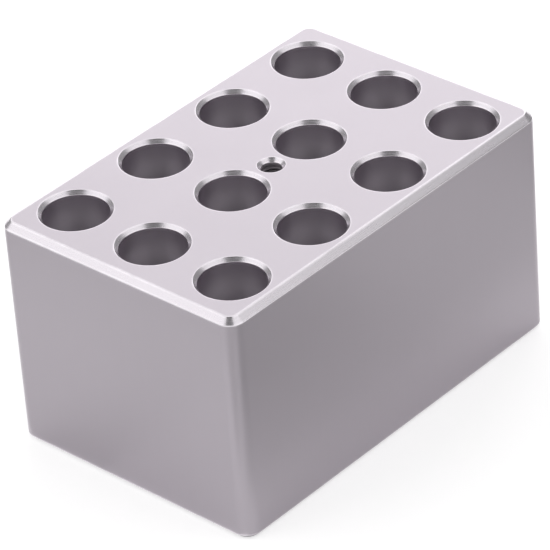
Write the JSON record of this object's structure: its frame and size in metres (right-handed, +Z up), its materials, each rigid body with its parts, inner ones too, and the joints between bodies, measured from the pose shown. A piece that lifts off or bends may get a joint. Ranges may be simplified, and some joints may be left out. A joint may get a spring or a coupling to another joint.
{
  "type": "heat block insert",
  "caption": "Rectangular metal block with a grid of blind test-tube wells, chamfered rims, rounded corners and a tapped lifting hole in its top face.",
  "frame": {"origin": "middle of the underside, on the surface that the block stands on", "axes": "+X along the block's length, +Y across it, +Z up out of the well mouths"},
  "size_m": [0.11, 0.0724, 0.061],
  "materials": {
    "machined_aluminium": "satin, finely machined and clear anodised"
  },
  "bodies": {
    "root": {"heat_block": "machined_aluminium"}
  },
  "joints": []
}
